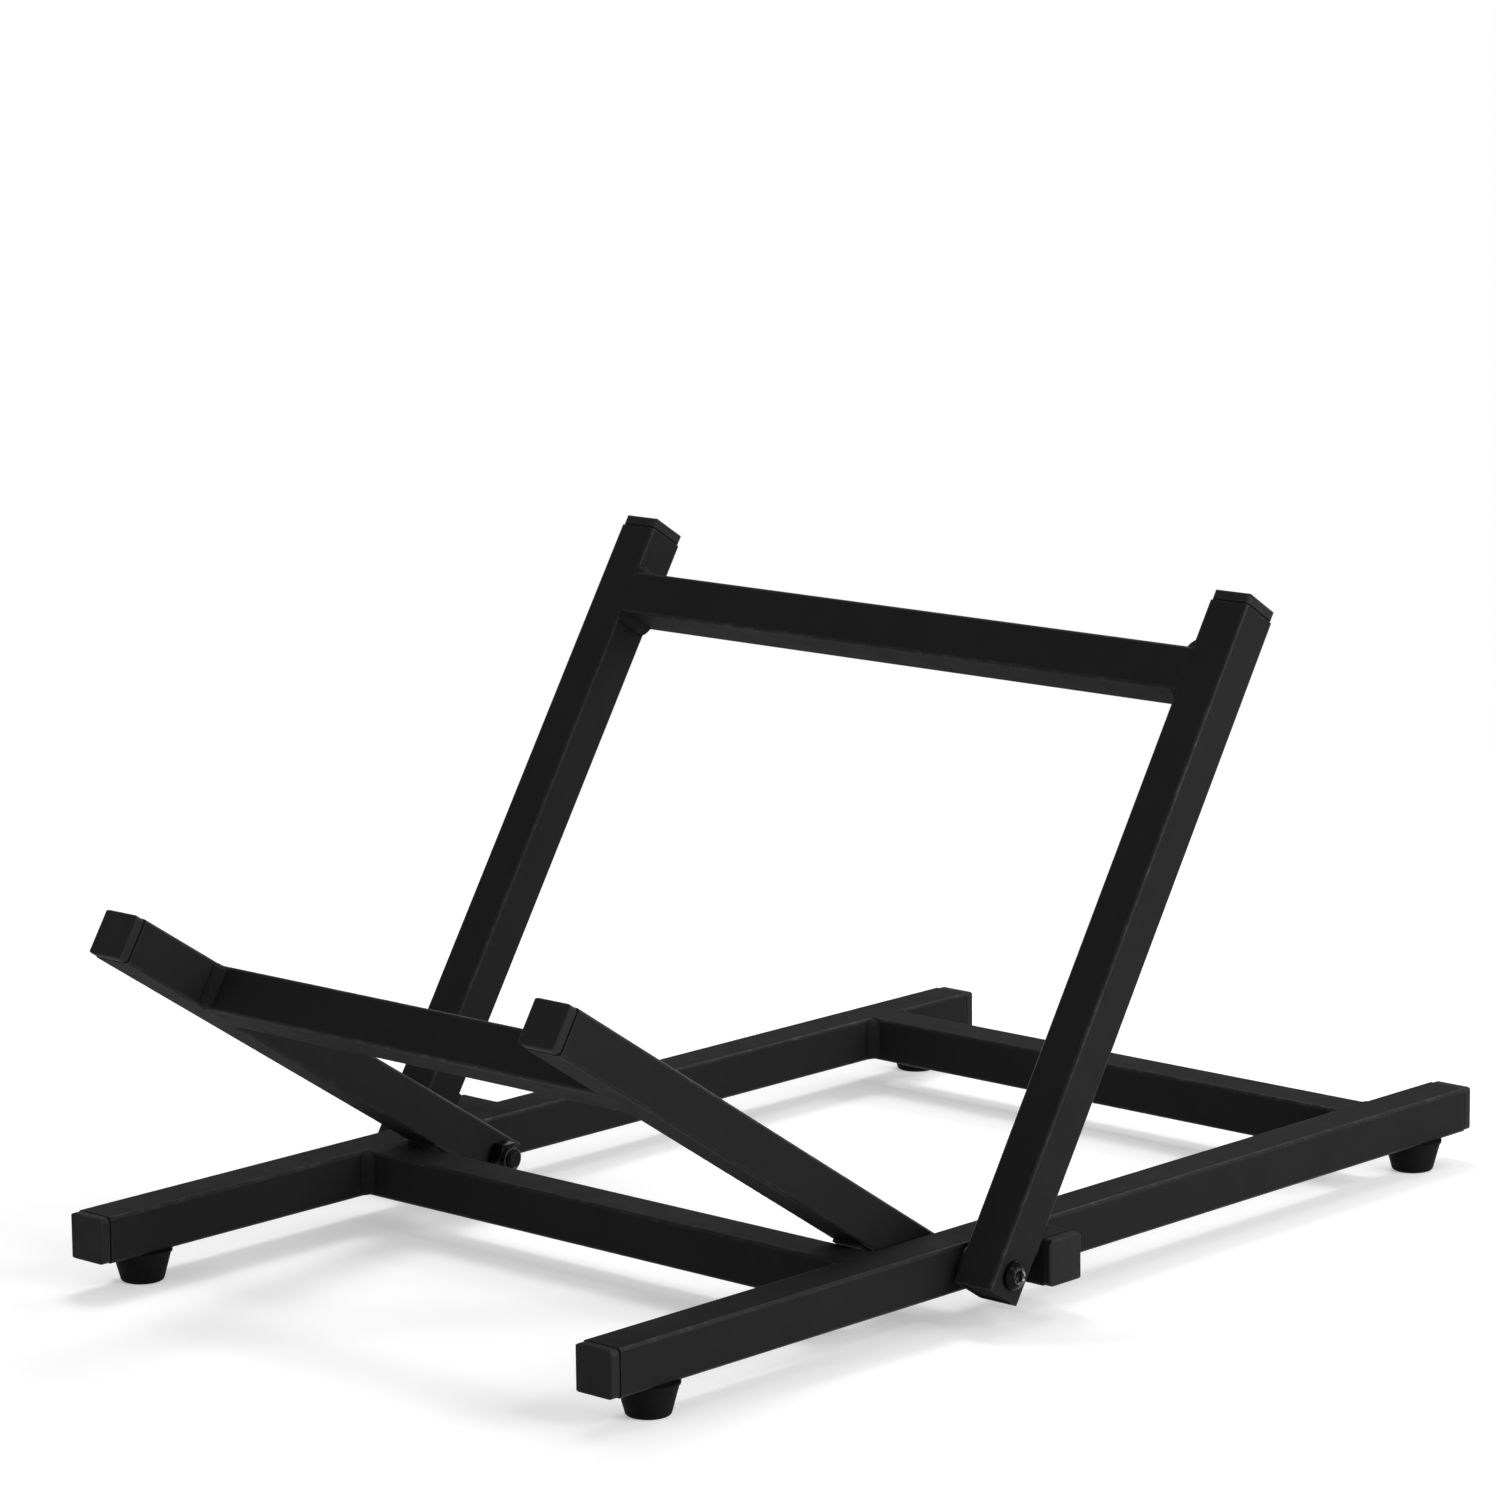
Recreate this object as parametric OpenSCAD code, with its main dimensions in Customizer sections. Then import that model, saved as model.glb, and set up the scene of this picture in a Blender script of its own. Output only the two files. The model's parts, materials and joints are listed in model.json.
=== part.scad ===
// Folding tilt-back floor stand for a combo cabinet, made of square steel tube.
// The base is a flat ladder of two rails and two cross-bars on four rubber feet.
// A cradle and a backrest, square to each other, turn about one common axis that
// runs through both rails, and both fold down flat to the level of the rails.
// X is the width, +Y points to the back, +Z is up. The origin lies on the floor,
// under the middle of the part's outer box. All sizes are in millimetres.

/* [Tube] */
// Side of the square tube
tube = 20; // [16:0.5:25]
// Wall thickness of the tube
wall = 1.5; // [1:0.1:2]
// Outside corner radius of the tube
tube_round = 1.6; // [1.6:0.1:2.5]

/* [Base frame] */
// Width over the outer faces of the two rails
base_w = 312.5; // [280:0.5:420]
// From the pivot axis to the front end of the rails
rail_front = 207.5; // [195:0.5:260]
// From the pivot axis to the rear end of the rails
rail_back = 342.5; // [325:0.5:420]
// From the pivot axis to the front face of the rear cross-bar
rear_bar_at = 270; // [260:1:300]
// Length of the stop stub's tube, out from the rail
stop_len = 19.5; // [18:0.5:26]
// Height of the stop stub above the underside of the rail
stop_lift = 0; // [0:0.5:2]

/* [Cradle and backrest] */
// Slope of the cradle below the horizontal, and lean of the backrest
tilt = 32.5; // [28:0.1:36]
// From the pivot axis to the tip of a cradle arm, cap included
arm_len = 246.5; // [230:0.5:250]
// From the arm's tip to the near face of the cradle's cross-bar
cradle_bar_in = 52.8; // [40:0.2:80]
// From the pivot axis to the top of an upright, cap included
upright_len = 300; // [285:1:360]
// From the pivot axis to the lower face of the backrest's cross-bar
back_bar_at = 253.5; // [252:0.5:262]
// How far arms and uprights run on below the pivot axis
tail_len = 10; // [10:0.5:14]

/* [Pivot] */
// Diameter of the pivot bolt
bolt_d = 8; // [6:1:10]
// Diameter of the bolt's domed head
head_d = 12; // [11:0.5:16]
// Height of the bolt's domed head
head_h = 4.2; // [3:0.1:5]
// Width across the flats of the socket in the bolt's head
socket_af = 5; // [4:0.5:6]
// Width across the flats of the lock nut
nut_af = 13; // [10:1:17]
// Thickness of the spacer washers on both faces of the rail
washer_t = 2.6; // [2:0.1:4]
// Diameter of the spacer washers
washer_d = 17; // [14:0.5:19]

/* [Feet and pads] */
// Height of a foot
foot_h = 13.6; // [10:0.2:20]
// Diameter of a foot where it meets the rail
foot_top_d = 25.6; // [20:0.2:28]
// Diameter of a foot at the floor, before its edge is rounded
foot_low_d = 17.8; // [14:0.2:22]
// From the rail's end to the centre of the foot
foot_in = 30; // [26:0.5:50]
// Thickness of the pad under a cradle arm
pad_t = 1.5; // [1.5:0.1:4]
// Thickness of the pad behind an upright
back_pad_t = 3; // [1.5:0.1:4]

/* [End caps] */
// Thickness of a cap's head
cap_t = 5; // [3:0.5:7]
// Radius of the rounded edges of a cap's head
cap_round = 1; // [0.6:0.1:2.5]
// Depth of a cap's stem inside the tube
stem_len = 14; // [10:0.5:16]
// Height of the shadow line between a tube's end and its cap
gap_t = 0.7; // [0.4:0.1:1]

/* [Hidden] */
half = tube / 2;
head_w = tube - 0.4;
bore_in = tube - 2 * wall;
rest_gap = 0.4;
turn_gap = 0.4;
run_clear = 0.05;
slack = 0.1;
eps = 0.01;
$fn = 48;

// Level and place of the pivot axis. The outer box runs from the cradle's tips to
// the rails' rear ends, and the origin is in the middle of that.
pivot_z = foot_h + half;
tip_out = head_w / 2 - cap_round;
tip_reach = (arm_len - cap_round) * cos(tilt) + tip_out * sin(tilt) + cap_round;
pivot_y = -(rail_back - tip_reach) / 2;

// Cross places, measured from the middle plane
rail_x = base_w / 2 - half;
arm_x = base_w / 2 - tube - washer_t - turn_gap - half;
upright_x = base_w / 2 + washer_t + turn_gap + half;
head_x = upright_x + half + turn_gap;
nut_x = arm_x - half - turn_gap;

// The front cross-bar lies where the pads of the sloping arms come down on its
// rounded rear edge, and the stop stub where the pads of the uprights lean back
// on its rounded upper edge.
pad_reach = half + pad_t + rest_gap + tube_round;
front_bar_at = tube_round - (pad_reach + (half - tube_round) * cos(tilt)) / sin(tilt) - tube;
stop_reach = half + back_pad_t + rest_gap + tube_round;
stop_at = (stop_reach + (stop_lift + half - tube_round) * sin(tilt)) / cos(tilt) - tube_round;

// Where along the arm the cross-bar's edge is met, and along the upright the
// stub's edge, and the pads around these places
pad_meet = (tube_round - front_bar_at - tube) * cos(tilt) + (half - tube_round) * sin(tilt);
back_meet = (stop_at + tube_round) * sin(tilt) + (stop_lift + half - tube_round) * cos(tilt);
pad_l = 14;
pad_w = 15;
pad_ahead = 1.6;

// Small sizes of the caps and plugs
gap_deep = wall - 0.4;
head_round = 2.4;
stem_w = bore_in - 2;
stem_wall = 1.6;
fin_t = 1;
fin_count = 3;
plug_t = 2;
plug_in = 0.6;

// Small sizes of the fasteners
socket_deep = 2.6;
socket_mouth = 1.25;
bolt_out = 1.6;
nut_h = 6.4;
collar_h = 1.4;
nut_chamfer = 0.8;
screw_d = 4.8;
screw_head_d = 9;
screw_head_h = 2.6;
screw_up = 8;
foot_well_d = 11.4;
foot_well = 6.4;
foot_round = 1.5;

black_paint = [0.055, 0.055, 0.06];
black_plastic = [0.075, 0.075, 0.08];
black_rubber = [0.05, 0.05, 0.052];
black_steel = [0.11, 0.11, 0.12];

// ---- profiles and shared shapes ----

// Rectangle with true quarter-round corners, centred
module round_rect(w, d, r) {
  square([w - 2 * r, d], center = true);
  square([w, d - 2 * r], center = true);
  for (sx = [-1, 1], sy = [-1, 1])
    translate([sx * (w / 2 - r), sy * (d / 2 - r)])
      circle(r);
}

// Square tube along +Z from z = 0
module tube_bar(len) {
  difference() {
    linear_extrude(len)
      round_rect(tube, tube, tube_round);
    translate([0, 0, -eps])
      linear_extrude(len + 2 * eps)
        round_rect(bore_in, bore_in, max(tube_round - wall, 0.5));
  }
}

// Turns a shape that stands along +Z so that it runs along +Y or +X
module along_y() {
  rotate([-90, 0, 0])
    children();
}
module along_x() {
  rotate([0, 90, 0])
    children();
}

// Puts a right-hand piece on the side s: 1 is right, -1 is left
module on_side(s) {
  mirror([s < 0 ? 1 : 0, 0, 0])
    children();
}

// Frame whose +Z runs up a cradle arm and whose +Y is its upper face
module arm_frame() {
  translate([arm_x, pivot_y, pivot_z])
    rotate([90 - tilt, 0, 0])
      children();
}

// Frame whose +Z runs up an upright and whose -Y is its front face
module upright_frame() {
  translate([upright_x, pivot_y, pivot_z])
    rotate([-tilt, 0, 0])
      children();
}

// Hole for the pivot bolt across a tube, along X
module bolt_hole() {
  along_x()
    cylinder(d = bolt_d + 2 * run_clear, h = tube + 2, center = true);
}

// Outline of a cap's head seen from the side: flat foot, rounded outer corners
module crown_side() {
  difference() {
    translate([-head_w / 2, 0])
      square([head_w, cap_t]);
    for (s = [-1, 1])
      translate([s * head_w / 2, cap_t])
        difference() {
          square(2 * cap_round, center = true);
          translate([-s * cap_round, -cap_round])
            circle(cap_round);
          translate([-s * (cap_round + 1), 0])
            square([2, 2 * cap_round + 2], center = true);
        }
  }
}

// Hollow stem with fins that grip the tube, from z = 0 downwards
module stem(len) {
  difference() {
    union() {
      translate([0, 0, -len])
        linear_extrude(len)
          round_rect(stem_w, stem_w, 1);
      for (i = [1:fin_count])
        translate([0, 0, -len * i / (fin_count + 0.5)])
          linear_extrude(fin_t)
            round_rect(bore_in - 2 * slack, bore_in - 2 * slack, 1);
    }
    translate([0, 0, -len - eps])
      linear_extrude(len - plug_t + eps)
        round_rect(stem_w - 2 * stem_wall, stem_w - 2 * stem_wall, 0.8);
  }
}

// Closed end cap: a low neck keeps its head off the tube's end and leaves a shadow
// line around it, its stem goes in
module end_cap() {
  linear_extrude(gap_t + eps)
    round_rect(tube - 2 * gap_deep, tube - 2 * gap_deep, 1);
  intersection() {
    translate([0, 0, gap_t])
      linear_extrude(cap_t - gap_t)
        round_rect(head_w, head_w, head_round);
    rotate([90, 0, 0])
      linear_extrude(tube + 2, center = true)
        crown_side();
    rotate([90, 0, 90])
      linear_extrude(tube + 2, center = true)
        crown_side();
  }
  stem(stem_len);
}

// ---- base frame ----

module rail() {
  difference() {
    translate([rail_x, pivot_y - rail_front + cap_t, pivot_z])
      along_y()
        tube_bar(rail_front + rail_back - 2 * cap_t);
    translate([rail_x, pivot_y, pivot_z])
      bolt_hole();
    for (y = foot_ys)
      translate([rail_x, y, foot_h - 1])
        cylinder(d = screw_d + 2 * run_clear, h = wall + 2);
  }
}

foot_ys = [pivot_y - rail_front + foot_in, pivot_y + rail_back - foot_in];

module left_rail() {
  color(black_paint)
    on_side(-1)
      rail();
}
module right_rail() {
  color(black_paint)
    rail();
}

// Cross-bar between the inner faces of the rails; at is its front face
module base_bar(at) {
  len = base_w - 2 * tube;
  translate([-len / 2, pivot_y + at + half, pivot_z])
    along_x()
      tube_bar(len);
}
module front_crossbar() {
  color(black_paint)
    base_bar(front_bar_at);
}
module rear_crossbar() {
  color(black_paint)
    base_bar(rear_bar_at);
}

// Short tube out from the rail, just behind the upright, that stops its lean
module stop_frame() {
  translate([base_w / 2, pivot_y + stop_at + half, pivot_z + stop_lift])
    along_x()
      children();
}
module left_stop_stub() {
  color(black_paint)
    on_side(-1)
      stop_frame()
        tube_bar(stop_len);
}
module right_stop_stub() {
  color(black_paint)
    stop_frame()
      tube_bar(stop_len);
}
module left_stop_cap() {
  color(black_plastic)
    on_side(-1)
      stop_frame()
        translate([0, 0, stop_len])
          end_cap();
}
module right_stop_cap() {
  color(black_plastic)
    stop_frame()
      translate([0, 0, stop_len])
        end_cap();
}

module rail_front_cap() {
  translate([rail_x, pivot_y - rail_front + cap_t, pivot_z])
    rotate([90, 0, 0])
      end_cap();
}
module rail_rear_cap() {
  translate([rail_x, pivot_y + rail_back - cap_t, pivot_z])
    along_y()
      end_cap();
}
module left_rail_front_cap() {
  color(black_plastic)
    on_side(-1)
      rail_front_cap();
}
module right_rail_front_cap() {
  color(black_plastic)
    rail_front_cap();
}
module left_rail_rear_cap() {
  color(black_plastic)
    on_side(-1)
      rail_rear_cap();
}
module right_rail_rear_cap() {
  color(black_plastic)
    rail_rear_cap();
}

// ---- feet ----

// Half section of a tapered foot with a rounded lower edge, a screw hole and a
// well for the screw's head
foot_taper = atan((foot_top_d - foot_low_d) / 2 / foot_h);
foot_arc_x = foot_low_d / 2 + foot_round * tan(foot_taper) - foot_round / cos(foot_taper);
foot_arc = [
  for (i = [0:6])
    let (a = -90 + (90 - foot_taper) * i / 6)
      [foot_arc_x + foot_round * cos(a), foot_round + foot_round * sin(a)]
];
foot_half = concat(
  [[screw_d / 2 + slack, foot_h], [screw_d / 2 + slack, foot_well],
   [foot_well_d / 2, foot_well], [foot_well_d / 2, 0]],
  foot_arc,
  [[foot_top_d / 2 - 0.5, foot_h - 1.2], [foot_top_d / 2, foot_h - 1], [foot_top_d / 2, foot_h]]
);
module foot(s, i) {
  translate([s * rail_x, foot_ys[i], 0])
    rotate_extrude()
      polygon(foot_half);
}
module front_left_foot() {
  color(black_rubber)
    foot(-1, 0);
}
module front_right_foot() {
  color(black_rubber)
    foot(1, 0);
}
module rear_left_foot() {
  color(black_rubber)
    foot(-1, 1);
}
module rear_right_foot() {
  color(black_rubber)
    foot(1, 1);
}

// Cross-shaped recess, cut down from z = 0
module cross_recess(long, wide, deep) {
  for (a = [0, 90])
    rotate([0, 0, a])
      translate([-long / 2, -wide / 2, -deep])
        cube([long, wide, deep + 1]);
  translate([0, 0, -deep])
    cylinder(d1 = wide * 1.2, d2 = wide * 2.1, h = deep + eps);
}

// Pan-head screw that stands head down, its head's bearing face at z = 0
module foot_screw() {
  difference() {
    union() {
      cylinder(d = screw_d, h = foot_h - foot_well + screw_up - 1);
      translate([0, 0, foot_h - foot_well + screw_up - 1 - eps])
        cylinder(d1 = screw_d, d2 = 2, h = 2);
      translate([0, 0, -screw_head_h])
        cylinder(d1 = screw_head_d - 2, d2 = screw_head_d, h = 1.1);
      translate([0, 0, -screw_head_h + 1.1 - eps])
        cylinder(d = screw_head_d, h = screw_head_h - 1.1 + eps);
    }
    translate([0, 0, -screw_head_h])
      rotate([180, 0, 0])
        cross_recess(4.6, 1, 1.6);
  }
}
module foot_screws() {
  color(black_steel)
    for (s = [-1, 1], y = foot_ys)
      translate([s * rail_x, y, foot_well])
        foot_screw();
}

// ---- pivot: washer, rail and washer stay with the bolt, arm and upright turn ----

module spacer_washer() {
  edge = 0.4;
  r_in = bolt_d / 2 + run_clear;
  r_out = washer_d / 2;
  along_x()
    rotate_extrude()
      polygon([
        [r_in, 0], [r_out - edge, 0], [r_out, edge],
        [r_out, washer_t - edge], [r_out - edge, washer_t], [r_in, washer_t]
      ]);
}
module spacer_washers() {
  color(black_plastic)
    for (s = [-1, 1])
      on_side(s) {
        translate([base_w / 2, pivot_y, pivot_z])
          spacer_washer();
        translate([base_w / 2 - tube - washer_t, pivot_y, pivot_z])
          spacer_washer();
      }
}

// Hexagonal socket cut down from z = 0, with a coned mouth and a drilled bottom
module hex_socket(af, deep) {
  across = af / cos(30);
  rotate([0, 0, 30])
    translate([0, 0, -deep])
      cylinder(d = across, h = deep + 1, $fn = 6);
  translate([0, 0, -deep - 0.5])
    cylinder(d1 = af * 0.3, d2 = af * 0.9, h = 0.5 + eps);
  translate([0, 0, -socket_mouth])
    cylinder(d1 = af - 0.1, d2 = af - 0.1 + 3.5 * socket_mouth, h = socket_mouth);
}

// Domed head in half section, bearing face at z = 0, top at head_h
dome_rise = 3;
dome_r = (pow(head_d / 2, 2) + pow(dome_rise, 2)) / (2 * dome_rise);
dome_half_angle = asin(head_d / 2 / dome_r);
dome = [
  for (i = [0:8])
    let (a = dome_half_angle * (1 - i / 8))
      [dome_r * sin(a), head_h - dome_r + dome_r * cos(a)]
];
shank_len = head_x - nut_x + nut_h + collar_h + bolt_out;
module pivot_bolt() {
  translate([head_x, pivot_y, pivot_z])
    along_x() {
      difference() {
        rotate_extrude()
          polygon(concat([[0, 0], [head_d / 2, 0]], dome));
        translate([0, 0, head_h])
          hex_socket(socket_af, socket_deep);
      }
      translate([0, 0, -shank_len + 1])
        cylinder(d = bolt_d, h = shank_len - 1 + eps);
      translate([0, 0, -shank_len])
        cylinder(d1 = bolt_d - 1.6, d2 = bolt_d, h = 1 + eps);
    }
}
module left_pivot_bolt() {
  color(black_steel)
    on_side(-1)
      pivot_bolt();
}
module right_pivot_bolt() {
  color(black_steel)
    pivot_bolt();
}

// Hexagon lock nut with chamfered corners and a round collar
module lock_nut() {
  across = nut_af / cos(30);
  translate([nut_x, pivot_y, pivot_z])
    rotate([0, -90, 0])
      difference() {
        union() {
          intersection() {
            rotate([0, 0, 30])
              cylinder(d = across, h = nut_h, $fn = 6);
            rotate_extrude()
              polygon([
                [0, 0], [nut_af / 2, 0], [across / 2 + eps, nut_chamfer / 2],
                [across / 2 + eps, nut_h - nut_chamfer],
                [nut_af / 2 - 0.2, nut_h], [0, nut_h]
              ]);
          }
          translate([0, 0, nut_h - eps])
            cylinder(d1 = nut_af - 1.2, d2 = nut_af - 2.6, h = collar_h + eps);
        }
        translate([0, 0, -1])
          cylinder(d = bolt_d + run_clear, h = nut_h + collar_h + 2);
      }
}
module left_lock_nut() {
  color(black_steel)
    on_side(-1)
      lock_nut();
}
module right_lock_nut() {
  color(black_steel)
    lock_nut();
}

// ---- cradle ----

module arm() {
  arm_frame()
    difference() {
      translate([0, 0, -tail_len])
        tube_bar(tail_len + arm_len - cap_t);
      bolt_hole();
    }
}
module left_arm() {
  color(black_paint)
    on_side(-1)
      arm();
}
module right_arm() {
  color(black_paint)
    arm();
}

// Between the inner faces of the arms, flush with their upper and lower faces
module cradle_crossbar() {
  len = 2 * (arm_x - half);
  color(black_paint)
    arm_frame()
      translate([-arm_x - len / 2, 0, arm_len - cradle_bar_in - half])
        along_x()
          tube_bar(len);
}
module left_arm_cap() {
  color(black_plastic)
    on_side(-1)
      arm_frame()
        translate([0, 0, arm_len - cap_t])
          end_cap();
}
module right_arm_cap() {
  color(black_plastic)
    arm_frame()
      translate([0, 0, arm_len - cap_t])
        end_cap();
}
// Plug that closes the lower end of an arm or upright, a little inside the rim:
// a plain disc with a low rim, because the tail below the bolt is short
module short_plug() {
  difference() {
    translate([0, 0, -plug_in - 2 * plug_t])
      linear_extrude(2 * plug_t)
        round_rect(bore_in - 2 * slack, bore_in - 2 * slack, 0.5);
    translate([0, 0, -plug_in - 2 * plug_t - eps])
      linear_extrude(plug_t)
        round_rect(bore_in - 4, bore_in - 4, 0.5);
  }
}
module tail_plug() {
  translate([0, 0, -tail_len])
    rotate([180, 0, 0])
      short_plug();
}

module left_arm_plug() {
  color(black_plastic)
    on_side(-1)
      arm_frame()
        tail_plug();
}
module right_arm_plug() {
  color(black_plastic)
    arm_frame()
      tail_plug();
}

// Pad under the arm that comes down on the front cross-bar
module arm_pad() {
  arm_frame()
    translate([0, -half, pad_meet + pad_ahead - pad_l / 2])
      rotate([90, 0, 0])
        linear_extrude(pad_t)
          round_rect(pad_w, pad_l, 1.5);
}
module left_arm_pad() {
  color(black_rubber)
    on_side(-1)
      arm_pad();
}
module right_arm_pad() {
  color(black_rubber)
    arm_pad();
}

// ---- backrest ----

module upright() {
  upright_frame()
    difference() {
      translate([0, 0, -tail_len])
        tube_bar(tail_len + upright_len - cap_t);
      bolt_hole();
    }
}
module left_upright() {
  color(black_paint)
    on_side(-1)
      upright();
}
module right_upright() {
  color(black_paint)
    upright();
}

// Between the inner faces of the uprights, further out than the arms reach
module backrest_crossbar() {
  len = 2 * (upright_x - half);
  color(black_paint)
    upright_frame()
      translate([-upright_x - len / 2, 0, back_bar_at + half])
        along_x()
          tube_bar(len);
}
module left_upright_cap() {
  color(black_plastic)
    on_side(-1)
      upright_frame()
        translate([0, 0, upright_len - cap_t])
          end_cap();
}
module right_upright_cap() {
  color(black_plastic)
    upright_frame()
      translate([0, 0, upright_len - cap_t])
        end_cap();
}
// Pad on the back of the upright where it comes down on the stop stub
module upright_pad() {
  upright_frame()
    translate([0, half, back_meet])
      rotate([-90, 0, 0])
        linear_extrude(back_pad_t)
          round_rect(pad_w, pad_l, 1.5);
}
module left_upright_pad() {
  color(black_rubber)
    on_side(-1)
      upright_pad();
}
module right_upright_pad() {
  color(black_rubber)
    upright_pad();
}
module left_upright_plug() {
  color(black_plastic)
    on_side(-1)
      upright_frame()
        tail_plug();
}
module right_upright_plug() {
  color(black_plastic)
    upright_frame()
      tail_plug();
}

left_rail();
right_rail();
front_crossbar();
rear_crossbar();
left_stop_stub();
right_stop_stub();
left_stop_cap();
right_stop_cap();
left_rail_front_cap();
right_rail_front_cap();
left_rail_rear_cap();
right_rail_rear_cap();
front_left_foot();
front_right_foot();
rear_left_foot();
rear_right_foot();
foot_screws();
spacer_washers();
left_pivot_bolt();
right_pivot_bolt();
left_lock_nut();
right_lock_nut();
left_arm();
right_arm();
cradle_crossbar();
left_arm_cap();
right_arm_cap();
left_arm_plug();
right_arm_plug();
left_arm_pad();
right_arm_pad();
left_upright();
right_upright();
backrest_crossbar();
left_upright_cap();
right_upright_cap();
left_upright_plug();
right_upright_plug();
left_upright_pad();
right_upright_pad();
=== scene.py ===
"""Looks of the folding amp stand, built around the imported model.

Lengths are in metres and places are in the model's own frame: +X to the right seen from the front,
+Y to the back and +Z up.
"""

import json
import math
import random

import bmesh
import bpy
from mathutils import Matrix, Vector


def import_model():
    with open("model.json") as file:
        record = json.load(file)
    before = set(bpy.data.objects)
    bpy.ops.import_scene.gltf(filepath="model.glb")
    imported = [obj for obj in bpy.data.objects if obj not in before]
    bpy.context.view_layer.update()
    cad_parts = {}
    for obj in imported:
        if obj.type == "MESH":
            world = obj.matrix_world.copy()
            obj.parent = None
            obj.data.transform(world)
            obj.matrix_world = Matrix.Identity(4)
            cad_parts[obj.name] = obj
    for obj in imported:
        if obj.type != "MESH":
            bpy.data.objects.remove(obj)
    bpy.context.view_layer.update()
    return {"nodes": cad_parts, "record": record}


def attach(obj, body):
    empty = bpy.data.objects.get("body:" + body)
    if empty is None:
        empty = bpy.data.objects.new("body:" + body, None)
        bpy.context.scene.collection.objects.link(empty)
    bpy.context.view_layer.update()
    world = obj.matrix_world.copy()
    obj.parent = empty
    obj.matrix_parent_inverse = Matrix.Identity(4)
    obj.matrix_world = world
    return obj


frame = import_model()
NODES = frame["nodes"]

MM = 0.001

# Sizes of the CAD model that the looks follow.
TILT = math.radians(32.5)
TUBE_HALF = 10 * MM
TUBE_ROUND = 1.6 * MM
PIVOT = Vector((0.0, -64.8596 * MM, 23.6 * MM))

# Walls that cross tubes end on, as distances from the middle plane.
RAIL_INNER = 136.25 * MM
RAIL_OUTER = 156.25 * MM
ARM_INNER = 113.25 * MM
UPRIGHT_INNER = 159.25 * MM

# Middle lines of the cross tubes, as distances from the pivot.
FRONT_BAR = 46.711 * MM
REAR_BAR = 280 * MM
CRADLE_BAR = 183.7 * MM
BACKREST_BAR = 263.5 * MM
STUB = 31.537 * MM

# Ends of the tubes, under their caps, as distances from the pivot.
RAIL_FRONT_END = 202.5 * MM
RAIL_REAR_END = 337.5 * MM
ARM_END = 241.5 * MM
UPRIGHT_END = 295 * MM

# The bolt's parts, as distances from the middle plane.
HEAD_BASE = 179.65 * MM
DOME_FROM = HEAD_BASE + 1.8 * MM
NUT_FACE = 112.85 * MM
COLLAR_END = NUT_FACE - 7.8 * MM
BOLT_END = COLLAR_END - 1.6 * MM

# Light.
WORLD_LEVEL = 0.34
FLOOR_COLOUR = (0.8, 0.8, 0.8, 1)
FLOOR_GLOW = 0.37
FLOOR_REACH = 6.0            # from the middle to each side
FLOOR_FADE = (0.5, 1.3)      # distances from the middle between which it turns plain white
BACKDROP_FADE = (0.1, 0.55)  # heights, as sines, between which mirrors see the backdrop end
LAMPS = (
    # name, place, target, width, height, watts
    ("key", (1.95, 0.7, 0.66), (0, 0.05, 0.05), 1.7, 1.1, 33),
    ("top", (-0.9, 0.8, 2.4), (0, 0, 0.05), 0.9, 0.8, 24),
    ("back", (0.15, 2.05, 2.05), (0, 0, 0.05), 0.9, 0.5, 12),
    ("side", (-0.75, -2.5, 0.95), (0, 0, 0.1), 0.9, 0.7, 5),
    ("glint", (1.75, -0.15, 1.45), (0, 0, 0.05), 0.22, 0.2, 5),
)

# The camera that was fitted to the photograph.
CAMERA_PLACE = (1.67516, -1.82482, 0.67090)
CAMERA_AZIMUTH = math.radians(42.9472)
CAMERA_ELEVATION = math.radians(10.5940)
CAMERA_ROLL = math.radians(-0.6114)
CAMERA_LENS = 142.641
CAMERA_SENSOR = 36.0


# ---------- node helpers ----------

class Nodes:
    """A node tree, emptied. Wherever a call takes a value, it takes a number or a node's socket."""

    def __init__(self, tree):
        self.tree = tree
        tree.nodes.clear()

    def add(self, kind, **settings):
        node = self.tree.nodes.new(kind)
        for key, value in settings.items():
            setattr(node, key, value)
        return node

    def put(self, socket, value):
        if isinstance(value, bpy.types.NodeSocket):
            self.tree.links.new(value, socket)
        else:
            socket.default_value = value

    def math(self, operation, a, b=0.0, c=0.0):
        node = self.add("ShaderNodeMath", operation=operation)
        for socket, value in zip(node.inputs, (a, b, c)):
            self.put(socket, value)
        return node.outputs[0]

    def fit(self, value, low, high, to_low, to_high, curve="LINEAR"):
        """value, taken from low to high, as to_low to to_high, and no further."""
        node = self.add("ShaderNodeMapRange", interpolation_type=curve)
        self.put(node.inputs["Value"], value)
        self.put(node.inputs["From Min"], low)
        self.put(node.inputs["From Max"], high)
        self.put(node.inputs["To Min"], to_low)
        self.put(node.inputs["To Max"], to_high)
        return node.outputs[0]

    def split(self, vector):
        node = self.add("ShaderNodeSeparateXYZ")
        self.put(node.inputs[0], vector)
        return tuple(node.outputs)

    def mirrored(self, rays):
        """1 for rays that a glossy or clear surface sends out, from a Light Path node."""
        glossy, clear = rays.outputs["Is Glossy Ray"], rays.outputs["Is Transmission Ray"]
        return self.math("MAXIMUM", glossy, clear)


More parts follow.
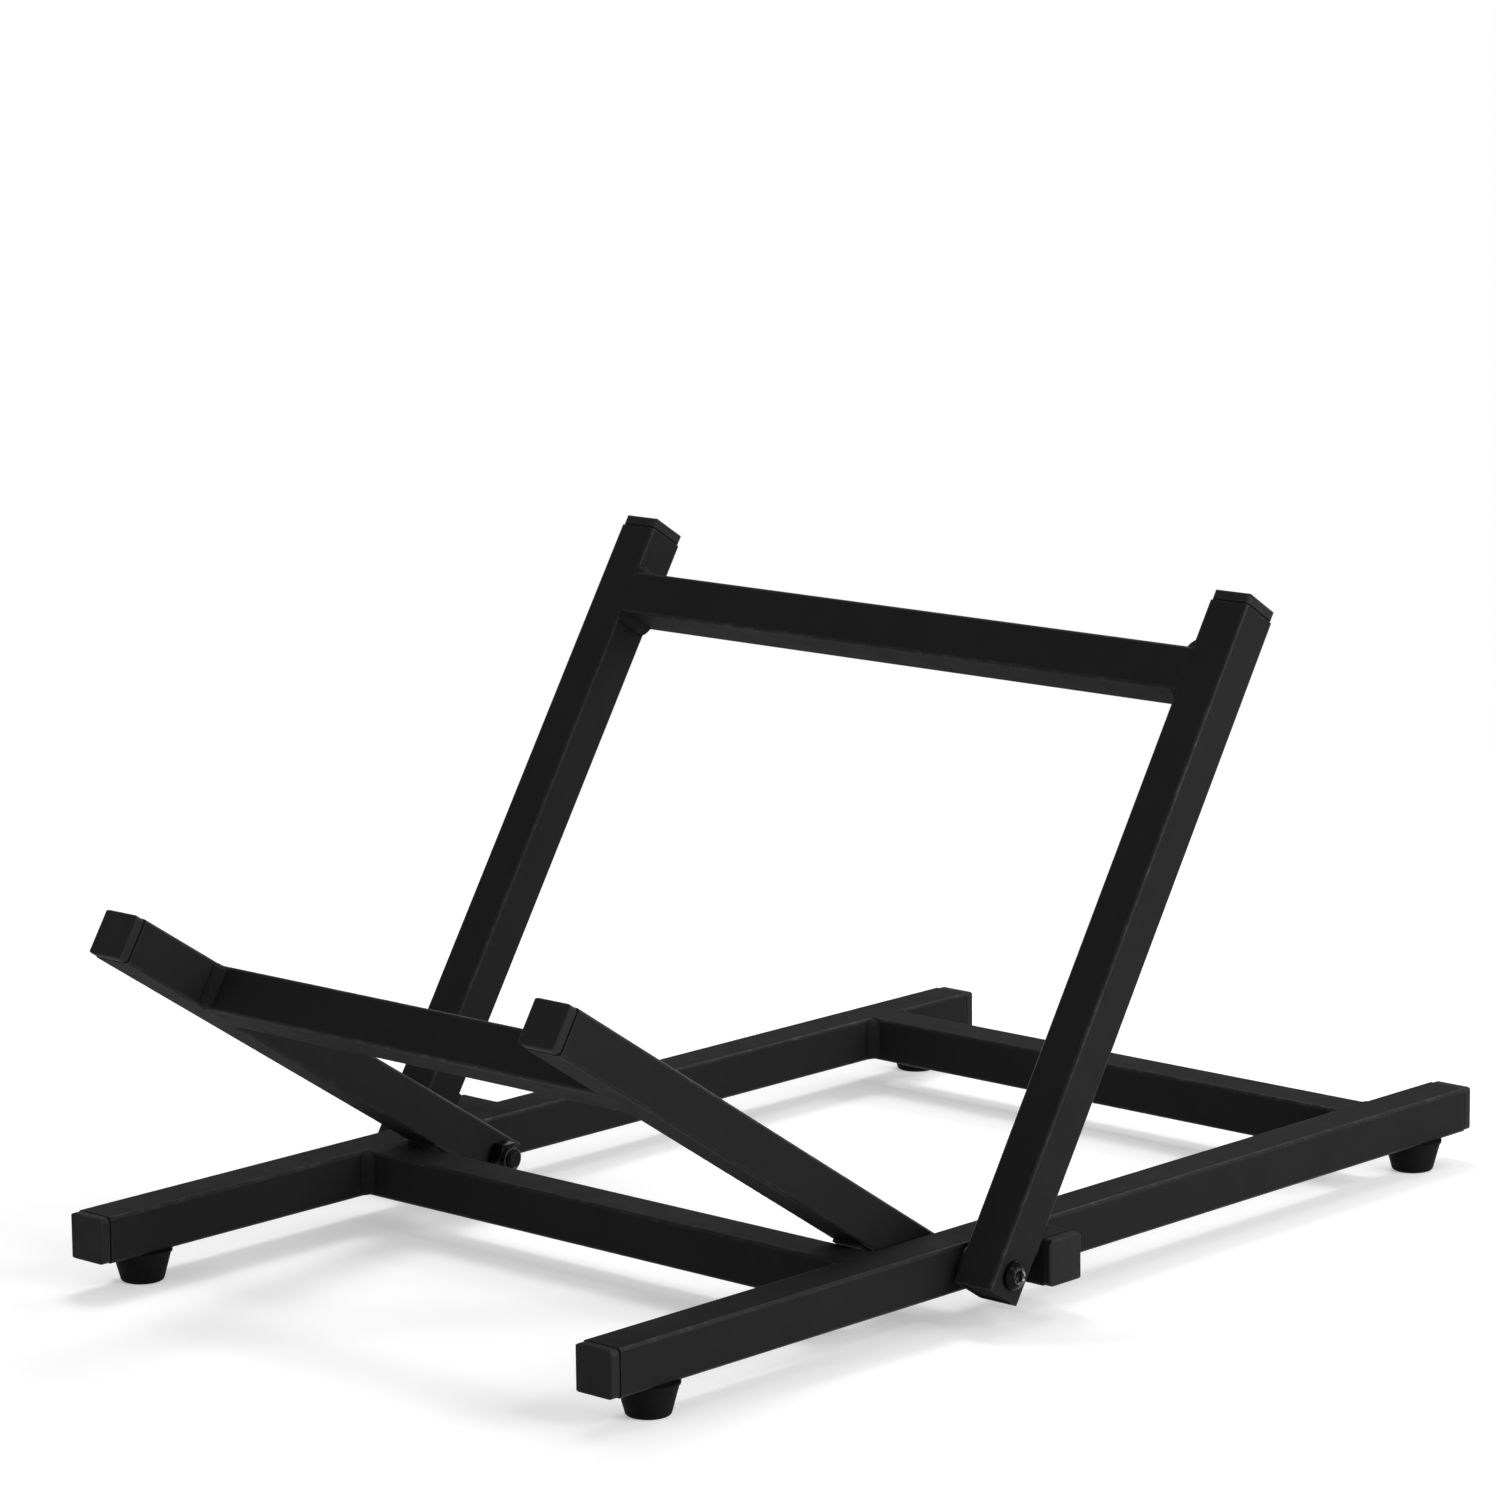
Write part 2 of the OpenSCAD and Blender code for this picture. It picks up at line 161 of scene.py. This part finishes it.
class Surface(Nodes):
    """A material of one Principled shader. turn rotates its coordinates about X, so that a tilted
    piece's flats lie along the axes."""

    def __init__(self, name, turn=0.0):
        self.material = bpy.data.materials.new(name)
        self.material.use_nodes = True
        super().__init__(self.material.node_tree)
        self.shader = self.add("ShaderNodeBsdfPrincipled")
        out = self.add("ShaderNodeOutputMaterial")
        self.put(out.inputs["Surface"], self.shader.outputs[0])
        coords = self.add("ShaderNodeTexCoord")
        self.place = self.turned(coords.outputs["Object"], turn)
        self.normal = self.turned(coords.outputs["Normal"], turn)

    def set(self, name, value):
        self.put(self.shader.inputs[name], value)

    def turned(self, vector, angle):
        if not angle:
            return vector
        node = self.add("ShaderNodeVectorRotate", rotation_type="X_AXIS")
        self.put(node.inputs["Vector"], vector)
        self.put(node.inputs["Angle"], angle)
        return node.outputs[0]

    def stretched(self, scale):
        node = self.add("ShaderNodeMapping")
        self.put(node.inputs["Vector"], self.place)
        self.put(node.inputs["Scale"], scale)
        return node.outputs[0]

    def noise(self, scale, detail=3.0, rough=0.55, vector=None):
        node = self.add("ShaderNodeTexNoise")
        self.put(node.inputs["Vector"], vector or self.place)
        self.put(node.inputs["Scale"], scale)
        self.put(node.inputs["Detail"], detail)
        self.put(node.inputs["Roughness"], rough)
        return node.outputs["Fac"]

    def cells(self, scale):
        node = self.add("ShaderNodeTexVoronoi")
        self.put(node.inputs["Vector"], self.place)
        self.put(node.inputs["Scale"], scale)
        return node.outputs["Distance"]

    def mix(self, factor, a, b):
        """Colour a at factor 0 and b at 1. A colour is three numbers or a node's socket."""
        node = self.add("ShaderNodeMix", data_type="RGBA")
        self.put(node.inputs["Factor"], factor)
        ends = (s for s in node.inputs if s.name in "AB" and s.type == "RGBA")
        for socket, value in zip(ends, (a, b)):
            self.put(socket, (*value, 1.0) if isinstance(value, tuple) else value)
        return next(s for s in node.outputs if s.type == "RGBA")

    def bump(self, height, distance, strength=1.0, normal=None):
        node = self.add("ShaderNodeBump")
        self.put(node.inputs["Strength"], strength)
        self.put(node.inputs["Distance"], distance)
        self.put(node.inputs["Height"], height)
        if normal is not None:
            self.put(node.inputs["Normal"], normal)
        return node.outputs[0]

    def corner(self):
        """1 in the middle of a rounded corner and 0 on the flats, which lie along the axes."""
        x, y, z = (self.math("ABSOLUTE", s) for s in self.split(self.normal))
        pairs = self.math("ADD", self.math("MULTIPLY", x, y), self.math("MULTIPLY", y, z))
        pairs = self.math("MULTIPLY_ADD", x, z, pairs)
        return self.math("MULTIPLY", pairs, 2.0)

    def near(self, value, places, reach):
        """1 at any of the places along value, fading to 0 at reach from them."""
        found = 0.0
        for place in places:
            gap = self.math("ABSOLUTE", self.math("SUBTRACT", value, place))
            found = self.math("MAXIMUM", found, self.fit(gap, reach * 0.4, reach, 1.0, 0.0))
        return found


# ---------- materials ----------
# Noise scales are in grains per metre, bump heights in metres, and colours are linear.

def paint(name, turn, ends=(), corner_highlight_and_wear=1.0):
    """Fine-textured black powder coat: near black, a soft sheen, a little gloss and a painted
    highlight along the corners, wear rubbed into the corners in patches, and a thin painted
    highlight where a tube ends. ends lists (axis, places) of the tubes' ends. The last argument
    scales the corners' painted highlight and wear."""
    dark, light = (0.0115, 0.0115, 0.0119), (0.0152, 0.0152, 0.0158)
    # The second colour here is the painted highlight along the corners.
    grain, painted_edge_highlight = (0.025, 0.025, 0.026), (0.036, 0.036, 0.037)
    # worn is paint rubbed off the corners. The second colour here and the width below are the
    # painted highlight along a tube's end edge.
    worn, end_highlight_colour = (0.065, 0.065, 0.067), (0.05, 0.05, 0.052)
    end_highlight_width = 0.9 * MM

    g = Surface(name, turn)
    axes = g.split(g.place)
    patches = g.fit(g.noise(170.0, 4.0, 0.65), 0.5, 0.72, 0.0, 1.0)
    breaks = g.fit(g.noise(260.0, 3.0), 0.3, 0.6, 0.35, 1.0)
    # The corners get both a painted highlight and real wear, and the last argument scales both.
    corner = g.math("MULTIPLY", g.corner(), corner_highlight_and_wear)
    rub = g.math("MULTIPLY", corner, patches)
    # Mask of the painted highlight along each tube's end edge, broken up by noise.
    painted_end_highlight = 0.0
    for axis, places in ends:
        painted_end_highlight = g.math("MAXIMUM", painted_end_highlight, g.near(axes[axis], places, end_highlight_width))
    painted_end_highlight = g.math("MULTIPLY", painted_end_highlight, breaks)

    cloud = g.noise(22.0, 2.0)
    speck = g.fit(g.noise(2600.0, 1.0), 0.66, 0.78, 0.0, 0.5)
    base = g.mix(speck, g.mix(cloud, dark, light), grain)
    # Painted highlight: the corners' colour is lightened where their rounding catches light.
    base = g.mix(g.math("MULTIPLY", corner, 0.3), base, painted_edge_highlight)
    base = g.mix(g.math("MULTIPLY", rub, 0.5), base, worn)
    # Painted highlight along each tube's end edge.
    g.set("Base Color", g.mix(g.math("MULTIPLY", painted_end_highlight, 0.2), base, end_highlight_colour))

    broad = g.fit(g.noise(75.0, 3.0), 0.25, 0.75, 0.66, 0.76)
    fine = g.fit(g.noise(1900.0, 2.0), 0.3, 0.7, -0.04, 0.04)
    rough = g.math("ADD", broad, fine)
    rough = g.math("SUBTRACT", rough, g.math("MULTIPLY", corner, 0.42))
    g.set("Roughness", g.math("SUBTRACT", rough, g.math("MULTIPLY", painted_end_highlight, 0.05)))
    g.set("Metallic", g.math("MULTIPLY_ADD", rub, 0.3, g.math("MULTIPLY", corner, 0.2)))
    g.set("Specular IOR Level", 0.045)

    peel = g.bump(g.noise(620.0, 2.0, 0.45), 0.00006, 0.55)
    g.set("Normal", g.bump(g.noise(3300.0, 2.0), 0.000012, 0.6, peel))
    return g.material


def plastic(name, tone, rough, level, grain=2600.0, turn=0.0):
    """Moulded plastic with a fine spark-eroded texture, smears, and a painted highlight on its
    edges, which are also a little glossier. rough is the range of its roughness, and level its
    specular level."""
    g = Surface(name, turn)
    edge = g.fit(g.corner(), 0.25, 0.9, 0.0, 1.0)
    dark, light = (tone * 0.85,) * 3, (tone * 1.2, tone * 1.2, tone * 1.24)
    # The second colour here is the painted highlight on the edges.
    dust, painted_edge_highlight = (tone * 1.9,) * 3, (tone * 2.6,) * 3
    cloud = g.noise(60.0, 3.0)
    speck = g.fit(g.noise(900.0, 2.0), 0.62, 0.8, 0.0, 0.35)
    base = g.mix(speck, g.mix(cloud, dark, light), dust)
    # Painted highlight: the rounded edges' colour is lightened.
    g.set("Base Color", g.mix(g.math("MULTIPLY", edge, 0.3), base, painted_edge_highlight))

    smear = g.noise(140.0, 4.0, 0.6, g.stretched((1.0, 2.5, 0.6)))
    uneven = g.fit(smear, 0.3, 0.7, *rough)
    g.set("Roughness", g.math("SUBTRACT", uneven, g.math("MULTIPLY", edge, 0.08)))
    g.set("Specular IOR Level", level)

    coarse = g.bump(g.noise(260.0, 2.0), 0.00008, 0.3)
    g.set("Normal", g.bump(g.cells(grain), 0.00003, 0.5, coarse))
    return g.material


def rubber(name, tone):
    """Moulded rubber: dull, with a dusty bloom and a slightly uneven skin."""
    g = Surface(name)
    bloom = g.fit(g.noise(95.0, 5.0, 0.65), 0.45, 0.8, 0.0, 0.5)
    clean, dusty = (tone, tone, tone * 1.02), (tone * 2.0, tone * 1.98, tone * 1.95)
    g.set("Base Color", g.mix(bloom, clean, dusty))
    g.set("Roughness", g.fit(g.noise(420.0, 3.0), 0.3, 0.7, 0.64, 0.78))
    g.set("Specular IOR Level", 0.05)

    skin = g.bump(g.noise(330.0, 3.0), 0.00012, 0.35)
    g.set("Normal", g.bump(g.noise(4200.0, 1.0), 0.00002, 0.5, skin))
    return g.material


def steel(name, tone, rough):
    """Blackened steel: a thin dark finish, polished on its high spots."""
    g = Surface(name)
    worn = g.fit(g.noise(480.0, 4.0, 0.6), 0.5, 0.75, 0.0, 0.6)
    dark, light = (tone, tone, tone * 1.05), (tone * 2.1, tone * 2.1, tone * 2.15)
    g.set("Base Color", g.mix(worn, dark, light))
    g.set("Metallic", 0.9)
    g.set("Roughness", g.fit(g.noise(900.0, 3.0), 0.3, 0.7, *rough))
    g.set("Normal", g.bump(g.noise(1500.0, 3.0), 0.00003, 0.5))
    return g.material


def bolt_steel(name):
    """Glossy black steel. The mouth of the socket in the bolt's dome is scraped bright by keys."""
    dark, light, bright = (0.004, 0.004, 0.0042), (0.012, 0.012, 0.0125), (0.42, 0.42, 0.41)
    mouth_radius, mouth_width = 2.95 * MM, 0.55 * MM

    g = Surface(name)
    x, y, z = g.split(g.place)
    dy = g.math("SUBTRACT", y, PIVOT.y)
    dz = g.math("SUBTRACT", z, PIVOT.z)
    radius = g.math("SQRT", g.math("MULTIPLY_ADD", dy, dy, g.math("MULTIPLY", dz, dz)))
    dome = g.math("GREATER_THAN", g.math("ABSOLUTE", x), DOME_FROM)
    mouth = g.math("MULTIPLY", dome, g.near(radius, (mouth_radius,), mouth_width))
    streaks = g.fit(g.noise(700.0, 3.0, 0.6), 0.46, 0.62, 0.06, 0.8)
    scrape = g.math("MULTIPLY", mouth, streaks)
    worn = g.fit(g.noise(480.0, 4.0, 0.6), 0.5, 0.75, 0.0, 0.6)
    g.set("Base Color", g.mix(scrape, g.mix(worn, dark, light), bright))
    g.set("Metallic", g.math("MULTIPLY_ADD", scrape, 0.8, 0.1))
    g.set("Specular IOR Level", 0.06)
    g.set("Roughness", g.fit(g.noise(900.0, 3.0), 0.3, 0.7, 0.14, 0.24))
    g.set("Normal", g.bump(g.noise(1500.0, 3.0), 0.00003, 0.4))
    return g.material


def tilted(point):
    """A point's y and z in the frame that is square to the cradle and the backrest."""
    c, s = math.cos(TILT), math.sin(TILT)
    return point.y * c - point.z * s, point.y * s + point.z * c


Y_AXIS, Z_AXIS = 1, 2
HUB_Y, HUB_Z = tilted(PIVOT)
PAINT = paint("painted_steel_flat", 0.0, (
    (Y_AXIS, (PIVOT.y - RAIL_FRONT_END, PIVOT.y + RAIL_REAR_END)),
))
PAINT_TILTED = paint("painted_steel_tilted", TILT, (
    (Y_AXIS, (HUB_Y - ARM_END,)),
    (Z_AXIS, (HUB_Z + UPRIGHT_END,)),
))
# The weld bead keeps only a little of the corners' painted highlight and wear.
PAINT_WELD = paint("painted_steel_weld", 0.0, corner_highlight_and_wear=0.12)
CAP = plastic("cap_plastic_moulded", 0.0155, (0.58, 0.7), 0.07)
CAP_TILTED = plastic("cap_plastic_moulded_tilted", 0.0155, (0.58, 0.7), 0.07, turn=TILT)
# The end plugs are made darker than the caps as painted shade, since their ends face down into
# shadow.
PLUG_PAINTED_SHADE = plastic("plug_plastic_painted_shade", 0.005, (0.7, 0.84), 0.03, turn=TILT)
WASHER = plastic("washer_plastic_turned", 0.008, (0.45, 0.58), 0.16, grain=1600.0)
NYLON = plastic("lock_ring_nylon", 0.014, (0.42, 0.56), 0.2, grain=1400.0)
FOOT = rubber("foot_rubber_moulded", 0.006)
PAD = rubber("pad_rubber_cut", 0.01)
BOLT = bolt_steel("bolt_steel_blackened")
SCREW = steel("screw_steel_blackened", 0.04, (0.28, 0.42))

TILTED = (
    "left_arm", "right_arm", "cradle_crossbar",
    "left_upright", "right_upright", "backrest_crossbar",
)
BY_SLOT = {
    "cap_plastic": CAP,
    "plug_plastic": PLUG_PAINTED_SHADE,
    "washer_plastic": WASHER,
    "foot_rubber": FOOT,
    "pad_rubber": PAD,
    "bolt_steel": BOLT,
    "screw_steel": SCREW,
}
slots = {s["node"]: s["material_slot"] for s in frame["record"]["subparts"]}
for node_name, node in NODES.items():
    material = BY_SLOT.get(slots[node_name]) or (PAINT_TILTED if node_name in TILTED else PAINT)
    if node_name.endswith(("arm_cap", "upright_cap")):
        material = CAP_TILTED
    for place in node.material_slots:
        place.material = material


# ---------- meshes ----------

def closed_piece(name, vertices, sections, ring, buried, material):
    """Closed skin over sections of the same number of points, each joined to the next one.

    A ring joins its last section to its first, and any other piece gets a flat end on both. buried
    counts the points at the end of each section that lie inside other pieces: the faces at them are
    flat, so that they don't bend the shading of the faces that show.
    """
    points = len(vertices) // sections
    faces = []
    for i in range(sections if ring else sections - 1):
        here, there = i * points, (i + 1) % sections * points
        for j in range(points):
            k = (j + 1) % points
            faces.append((here + j, here + k, there + k, there + j))
    if not ring:
        last = (sections - 1) * points
        faces.append(tuple(range(points)))
        faces.append(tuple(range(last, last + points)))
    data = bpy.data.meshes.new(name)
    data.from_pydata([tuple(v) for v in vertices], [], faces)
    data.update()

    for polygon in data.polygons:
        spots = {v % points for v in polygon.vertices}
        inside = any(spot >= points - buried for spot in spots)
        closing = not buried and spots == {0, points - 1}
        polygon.use_smooth = len(polygon.vertices) == 4 and not inside and not closing

    work = bmesh.new()
    work.from_mesh(data)
    bmesh.ops.recalc_face_normals(work, faces=work.faces)
    work.to_mesh(data)
    work.free()
    data.materials.append(material)
    made = bpy.data.objects.new(name, data)
    bpy.context.scene.collection.objects.link(made)
    return made


# ---------- weld beads ----------

OUTLINE_POINTS = 360        # around the cross tube
BEAD_POINTS = 15            # across the bead, from one tube to the other
BEAD_LEAST = 0.25 * MM      # width where a fillet ends
BEAD_SUNK = 0.06 * MM       # depth of its edges inside the tubes
BEAD_CROWN = 0.13           # height over a flat fillet, as a share of the leg
WIDTH_WANDER = 0.07         # share by which the width varies along the bead
CROWN_WANDER = 0.25         # share by which the height varies along the bead
ROOT_BACK = 0.3 * MM        # place of the hidden root, behind the wall's face
ROOT_IN = 1.2 * MM          # depth of the hidden root under the cross tube's face
RIPPLE_PITCH = 2.1 * MM     # from one ripple to the next
RIPPLE_BOW = 1.3 * MM       # how far a ripple runs ahead in the bead's middle
RIPPLE_HEIGHT = 0.016 * MM
GROOVE_IN = 1.5 * MM        # reach of a flush side's fill over the wall's tube
GROOVE_OUT = 0.6 * MM       # reach of a flush side's fill over the cross tube
GROOVE_PROUD = 0.02 * MM    # height of the fill's edge
GROOVE_CROWN = 0.1 * MM     # height of the fill's middle over its edges
CORNER_CLEAR = 0.5 * MM     # from a fillet's end to the tube's side


def tube_outline(samples):
    """Points and outward normals around the tube's rounded square section, evenly spaced, and the
    travel along it."""
    flat = 2 * (TUBE_HALF - TUBE_ROUND)
    arc = math.pi * TUBE_ROUND / 2
    total = 4 * (flat + arc)
    points = []
    for i in range(samples):
        travel = total * i / samples
        side, rest = divmod(travel, flat + arc)
        turn = side * math.pi / 2
        if rest < flat:
            u, v, angle = TUBE_HALF, rest - flat / 2, 0.0
        else:
            angle = (rest - flat) / TUBE_ROUND
            u = TUBE_HALF - TUBE_ROUND + TUBE_ROUND * math.cos(angle)
            v = flat / 2 + TUBE_ROUND * math.sin(angle)
        c, s = math.cos(turn), math.sin(turn)
        normal = (math.cos(turn + angle), math.sin(turn + angle))
        points.append(((u * c - v * s, u * s + v * c), normal, travel))
    return points


def weld_bead(name, body, place, leg, seed):
    """Bead around the end of a cross tube on the flat wall of another tube of the same size.

    place maps (along, u, v) to the model's frame: along runs from the wall up the cross tube, u
    lies along the wall's tube and v across it. On the two sides that meet the flat wall it is a
    fillet with rounded ends. On the two flush sides it only fills the groove over the wall's
    rounded corner, ground level.
    """
    dice = random.Random(seed)
    # Waves along the bead, as (weight, frequency, phase), and how far each fillet's end tapers.
    waves = [(dice.uniform(0.4, 1.0), dice.uniform(6, 30), dice.uniform(0, 6.3)) for _ in range(5)]
    run_outs = [dice.uniform(2.2, 3.4) * MM for _ in range(4)]
    vertices = []
    for (u, v), (nu, nv), travel in tube_outline(OUTLINE_POINTS):
        flush = nv * nv
        fillet = 1 - flush
        wander = sum(a * math.sin(travel / MM * f / 30 + p) for a, f, p in waves) / len(waves)
        run_out = run_outs[(1 if u > 0 else 0) + (2 if v > 0 else 0)]
        reach = min(1.0, max(0.0, (TUBE_HALF - CORNER_CLEAR - abs(v)) / run_out))
        fullness = math.sqrt(1 - (1 - reach) ** 2) * fillet
        width = BEAD_LEAST + (leg - BEAD_LEAST) * fullness * (1 + WIDTH_WANDER * wander)
        crown = BEAD_CROWN * leg * fullness * (1 + CROWN_WANDER * wander) + GROOVE_CROWN * flush
        start = (width * fillet + GROOVE_OUT * flush, -BEAD_SUNK)
        finish = (-GROOVE_IN * flush - BEAD_SUNK, width * fillet + GROOVE_PROUD * flush)
        size = math.hypot(finish[1] - start[1], start[0] - finish[0])
        lean = ((finish[1] - start[1]) / size, (start[0] - finish[0]) / size)
        for j in range(BEAD_POINTS):
            t = j / (BEAD_POINTS - 1)
            bow = 4 * t * (1 - t)
            phase = (travel + RIPPLE_BOW * bow) * 2 * math.pi / RIPPLE_PITCH
            rise = crown * bow + RIPPLE_HEIGHT * bow * math.sin(phase) * fullness
            along = start[0] + (finish[0] - start[0]) * t + lean[0] * rise
            out = start[1] + (finish[1] - start[1]) * t + lean[1] * rise
            vertices.append(place(along, u + nu * out, v + nv * out))
        vertices.append(place(-ROOT_BACK, u - nu * ROOT_IN, v - nv * ROOT_IN))
    bead = closed_piece(name, vertices, OUTLINE_POINTS, True, 1, PAINT_WELD)
    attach(bead, body)


def square_place(wall_x, centre, way, turn):
    """Map for weld_bead: a cross tube from a wall at wall_x, towards +X or -X as way is 1 or -1,
    with its middle line through centre, turned about that line."""
    c, s = math.cos(turn), math.sin(turn)

    def place(along, u, v):
        y, z = u * c - v * s, u * s + v * c
        return Vector((wall_x + way * along, centre.y + y, centre.z + z))
    return place


arm_up = Vector((0, -math.cos(TILT), math.sin(TILT)))
upright_up = Vector((0, math.sin(TILT), math.cos(TILT)))
front_bar = Vector((0, PIVOT.y - FRONT_BAR, PIVOT.z))
rear_bar = Vector((0, PIVOT.y + REAR_BAR, PIVOT.z))
cradle_bar = PIVOT + arm_up * CRADLE_BAR
backrest_bar = PIVOT + upright_up * BACKREST_BAR
stub = Vector((0, PIVOT.y + STUB, PIVOT.z))
SIDES = ((-1, "left"), (1, "right"))
INWARD, OUTWARD = -1, 1
WELDS = (
    # name, body, wall, way from the wall, middle line, turn about it, leg of the fillet, seed
    ("front_bar", "base", RAIL_INNER, INWARD, front_bar, 0.0, 4.8 * MM, 3),
    ("rear_bar", "base", RAIL_INNER, INWARD, rear_bar, 0.0, 4.8 * MM, 13),
    ("cradle_bar", "cradle", ARM_INNER, INWARD, cradle_bar, -TILT, 4.4 * MM, 23),
    ("backrest_bar", "backrest", UPRIGHT_INNER, INWARD, backrest_bar, math.pi / 2 - TILT,
     4.4 * MM, 33),
    ("stub", "base", RAIL_OUTER, OUTWARD, stub, 0.0, 2.6 * MM, 43),
)
for side, word in SIDES:
    for part, body, wall, way, centre, turn, leg, seed in WELDS:
        square = square_place(side * wall, centre, side * way, turn)
        weld_bead(f"{word}_{part}_weld", body, square, leg, seed + side)


# ---------- threads and lock rings ----------

def around_pivot(side, x, radius, angle):
    y = PIVOT.y + radius * math.cos(angle)
    z = PIVOT.z + radius * math.sin(angle)
    return Vector((side * x, y, z))


def thread(name, side):
    """Rolled thread on the bolt's tip, from inside the lock ring to the tip's chamfer."""
    pitch = 1.25 * MM
    core, crest = 3.95 * MM, 4.22 * MM
    in_ring, chamfer = 0.9 * MM, 0.35 * MM
    steps_in_turn = 48
    # Place along the bolt, in pitches, and radius.
    profile = ((-0.45, core), (-0.108, crest), (0.108, crest), (0.45, core))
    start, end = COLLAR_END + in_ring, BOLT_END + chamfer
    turns = (start - end) / pitch
    count = int(turns * steps_in_turn) + 1
    vertices = []
    for i in range(count):
        t = i / (count - 1)
        # It rises and runs out within a sixth of a turn, and never quite to nothing.
        fade = max(0.05, min(1.0, t * turns * 6, (1 - t) * turns * 6))
        for across, radius in profile:
            x = start + (end - start) * t + across * pitch
            vertices.append(
                around_pivot(side, x, core + (radius - core) * fade, 2 * math.pi * turns * t))
    made = closed_piece(name, vertices, count, False, 0, BOLT)
    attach(made, "base")


def lock_ring(name, side):
    """Nylon ring held in the nut's collar, gripping the bolt and slightly proud of the collar."""
    # Radius, and rise over the collar's end, in millimetres.
    profile = (
        (4.05, -0.8), (4.1, 0.02), (4.3, 0.2), (4.6, 0.26), (4.95, 0.2), (5.1, 0.0), (5.15, -0.5),
    )
    steps = 72
    vertices = []
    for i in range(steps):
        angle = 2 * math.pi * i / steps
        for radius, rise in profile:
            vertices.append(around_pivot(side, COLLAR_END - rise * MM, radius * MM, angle))
    made = closed_piece(name, vertices, steps, True, 0, NYLON)
    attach(made, "base")


for side, word in SIDES:
    thread(f"{word}_bolt_thread", side)
    lock_ring(f"{word}_lock_ring", side)


# ---------- floor, light and camera ----------

def floor():
    """White floor that keeps the object's shadow near it and runs out into plain white. Only the
    camera and mirrors see its glow: it lights the object as a plain pale floor does."""
    data = bpy.data.meshes.new("studio_floor")
    signs = ((-1, -1), (1, -1), (1, 1), (-1, 1))
    corners = [(x * FLOOR_REACH, y * FLOOR_REACH, 0) for x, y in signs]
    data.from_pydata(corners, [], [(0, 1, 2, 3)])
    made = bpy.data.objects.new("studio_floor", data)
    bpy.context.scene.collection.objects.link(made)
    material = bpy.data.materials.new("studio_floor_white")
    material.use_nodes = True
    g = Nodes(material.node_tree)

    def matte():
        node = g.add("ShaderNodeBsdfDiffuse")
        g.put(node.inputs["Color"], FLOOR_COLOUR)
        return node.outputs[0]

    def glow(strength):
        node = g.add("ShaderNodeEmission")
        g.put(node.inputs["Strength"], strength)
        return node.outputs[0]

    def blend(factor, first, second):
        node = g.add("ShaderNodeMixShader")
        for socket, value in zip(node.inputs, (factor, first, second)):
            g.put(socket, value)
        return node.outputs[0]

    near = g.add("ShaderNodeAddShader")
    g.put(near.inputs[0], matte())
    g.put(near.inputs[1], glow(FLOOR_GLOW))
    away = g.add("ShaderNodeVectorMath", operation="LENGTH")
    g.put(away.inputs[0], g.add("ShaderNodeTexCoord").outputs["Object"])
    edge = g.fit(away.outputs["Value"], *FLOOR_FADE, 0.0, 1.0, "SMOOTHSTEP")
    shown = blend(edge, near.outputs[0], glow(1.0))
    rays = g.add("ShaderNodeLightPath")
    seen = g.math("MAXIMUM", rays.outputs["Is Camera Ray"], g.mirrored(rays))
    out = g.add("ShaderNodeOutputMaterial")
    g.put(out.inputs["Surface"], blend(seen, matte(), shown))
    data.materials.append(material)


def world():
    """Plain light from all sides. Mirrors see it white up to the backdrop's height and at its plain
    level above, and the camera sees it white."""
    made = bpy.data.worlds.new("studio")
    bpy.context.scene.world = made
    made.use_nodes = True
    g = Nodes(made.node_tree)
    rays = g.add("ShaderNodeLightPath")
    height = g.split(g.add("ShaderNodeTexCoord").outputs["Generated"])[2]
    backdrop = g.fit(height, *BACKDROP_FADE, 1.0, WORLD_LEVEL, "SMOOTHSTEP")
    level = g.fit(g.mirrored(rays), 0.0, 1.0, WORLD_LEVEL, backdrop, "SMOOTHSTEP")
    level = g.fit(rays.outputs["Is Camera Ray"], 0.0, 1.0, level, 1.0, "SMOOTHSTEP")
    sky = g.add("ShaderNodeBackground")
    g.put(sky.inputs["Color"], (1, 1, 1, 1))
    g.put(sky.inputs["Strength"], level)
    g.put(g.add("ShaderNodeOutputWorld").inputs["Surface"], sky.outputs[0])


def softbox(name, place, target, width, height, watts):
    data = bpy.data.lights.new(name, "AREA")
    data.shape = "RECTANGLE"
    data.size = width
    data.size_y = height
    data.energy = watts
    made = bpy.data.objects.new(name, data)
    made.location = place
    made.rotation_euler = (Vector(target) - Vector(place)).to_track_quat("-Z", "Y").to_euler()
    bpy.context.scene.collection.objects.link(made)


def camera():
    back = Vector((
        math.sin(CAMERA_AZIMUTH) * math.cos(CAMERA_ELEVATION),
        -math.cos(CAMERA_AZIMUTH) * math.cos(CAMERA_ELEVATION),
        math.sin(CAMERA_ELEVATION),
    ))
    right = (-back).cross(Vector((0, 0, 1))).normalized()
    up = right.cross(-back)
    c, s = math.cos(CAMERA_ROLL), math.sin(CAMERA_ROLL)
    right, up = right * c + up * s, up * c - right * s
    data = bpy.data.cameras.new("camera")
    data.sensor_width = CAMERA_SENSOR
    data.lens = CAMERA_LENS
    data.clip_start = 0.05
    data.clip_end = 60.0
    made = bpy.data.objects.new("camera", data)
    turn = Matrix((right, up, back)).transposed().to_4x4()
    made.matrix_world = Matrix.Translation(CAMERA_PLACE) @ turn
    bpy.context.scene.collection.objects.link(made)
    bpy.context.scene.camera = made


floor()
world()
for lamp in LAMPS:
    softbox(*lamp)
camera()
bpy.context.scene.view_settings.view_transform = "Standard"
